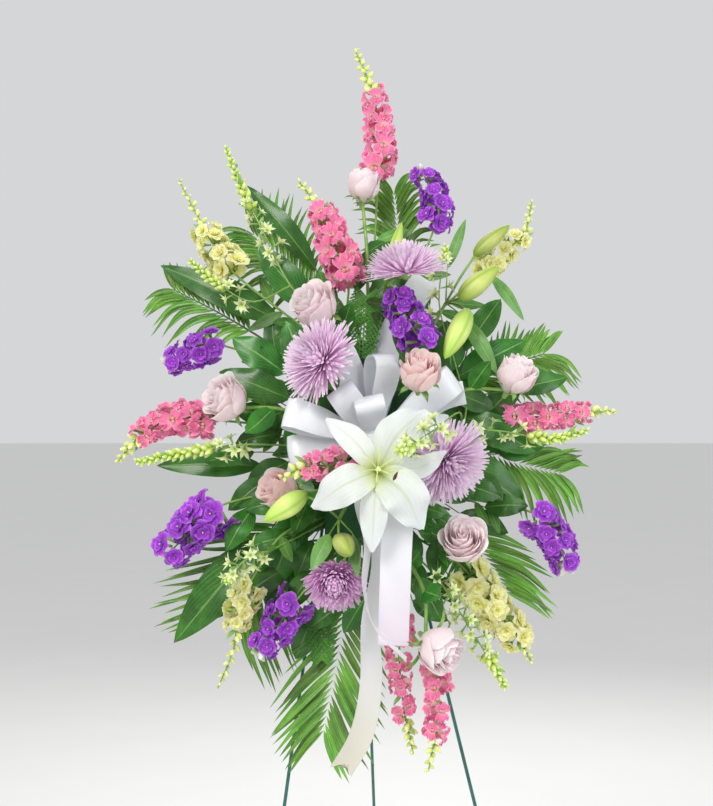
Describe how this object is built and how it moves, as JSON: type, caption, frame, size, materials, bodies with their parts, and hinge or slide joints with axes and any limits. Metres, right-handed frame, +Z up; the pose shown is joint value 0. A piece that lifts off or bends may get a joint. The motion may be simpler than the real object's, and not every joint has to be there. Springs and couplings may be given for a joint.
{
  "type": "standing funeral spray",
  "caption": "Diamond-shaped spray of cut flowers and foliage with a white satin bow, in a foam cage on a folding wire easel.",
  "frame": {"origin": "centre of the bounding box's bottom face, on the floor", "axes": "+Z up from the floor, and the front with the bow and the open lily faces -Y"},
  "size_m": [0.7224, 0.6758, 1.6578],
  "materials": {
    "easel_green": "gloss green paint on wire",
    "cage_plastic": "moulded green plastic",
    "wet_foam": "soaked floral foam",
    "blush_rose": "soft petals",
    "peach_rose": "soft petals",
    "lavender_mum": "soft petals",
    "pink_snapdragon": "soft florets",
    "purple_stock": "soft florets",
    "yellow_stock": "soft florets",
    "pale_larkspur": "soft florets",
    "white_lily": "waxy petals",
    "lily_bud": "waxy buds and leaves",
    "palm_frond": "satin leaflets",
    "glossy_leaf": "glossy leaves",
    "fern": "matt leaflets",
    "white_satin": "satin ribbon"
  },
  "bodies": {
    "stand": {"easel_left_leg": "easel_green", "easel_right_leg": "easel_green", "easel_hinge_wire": "easel_green", "easel_stop_wire": "easel_green", "easel_upper_cross_wire": "easel_green", "easel_lower_cross_wire": "easel_green", "cage_tray": "cage_plastic", "foam_block": "wet_foam", "rose_top": "blush_rose", "rose_upper_left": "blush_rose", "rose_left": "blush_rose", "rose_right": "blush_rose", "rose_low_right": "blush_rose", "rose_bottom": "blush_rose", "rose_peach": "peach_rose", "rose_low_left": "peach_rose", "mum_top": "lavender_mum", "mum_left": "lavender_mum", "mum_right": "lavender_mum", "mum_low": "lavender_mum", "snapdragon_top": "pink_snapdragon", "snapdragon_upper_left": "pink_snapdragon", "snapdragon_left": "pink_snapdragon", "snapdragon_middle": "pink_snapdragon", "snapdragon_right": "pink_snapdragon", "snapdragons_bottom": "pink_snapdragon", "purple_stock_top": "purple_stock", "purple_stock_middle": "purple_stock", "purple_stock_left": "purple_stock", "purple_stock_low_left": "purple_stock", "purple_stock_bottom": "purple_stock", "purple_stock_right": "purple_stock", "yellow_stock_upper_left": "yellow_stock", "yellow_stock_upper_right": "yellow_stock", "yellow_stock_low_left": "yellow_stock", "yellow_stock_low_right": "yellow_stock", "larkspur_upper_left": "pale_larkspur", "larkspur_left": "pale_larkspur", "larkspur_low_left": "pale_larkspur", "larkspur_right": "pale_larkspur", "larkspur_low_right": "pale_larkspur", "lily_open": "white_lily", "lily_branch_right": "lily_bud", "lily_branch_left": "lily_bud", "palm_top": "palm_frond", "palms_upper_left": "palm_frond", "palm_low_left": "palm_frond", "palm_bottom": "palm_frond", "palm_low_right": "palm_frond", "palms_right": "palm_frond", "broad_leaves_left": "glossy_leaf", "broad_leaves_low": "glossy_leaf", "salal_left": "glossy_leaf", "salal_right": "glossy_leaf", "fern_upper": "fern", "fern_lower": "fern", "bow": "white_satin", "streamer_short": "white_satin", "streamer_long": "white_satin"},
    "back_leg": {"easel_back_leg": "easel_green"}
  },
  "joints": [
    {"name": "back_leg_fold", "type": "hinge", "parent": "stand", "child": "back_leg", "pos_m": [-0.01164, 0.00615, 1.149], "axis": [1, 0, 0], "range_deg": [-27, 0]}
  ]
}
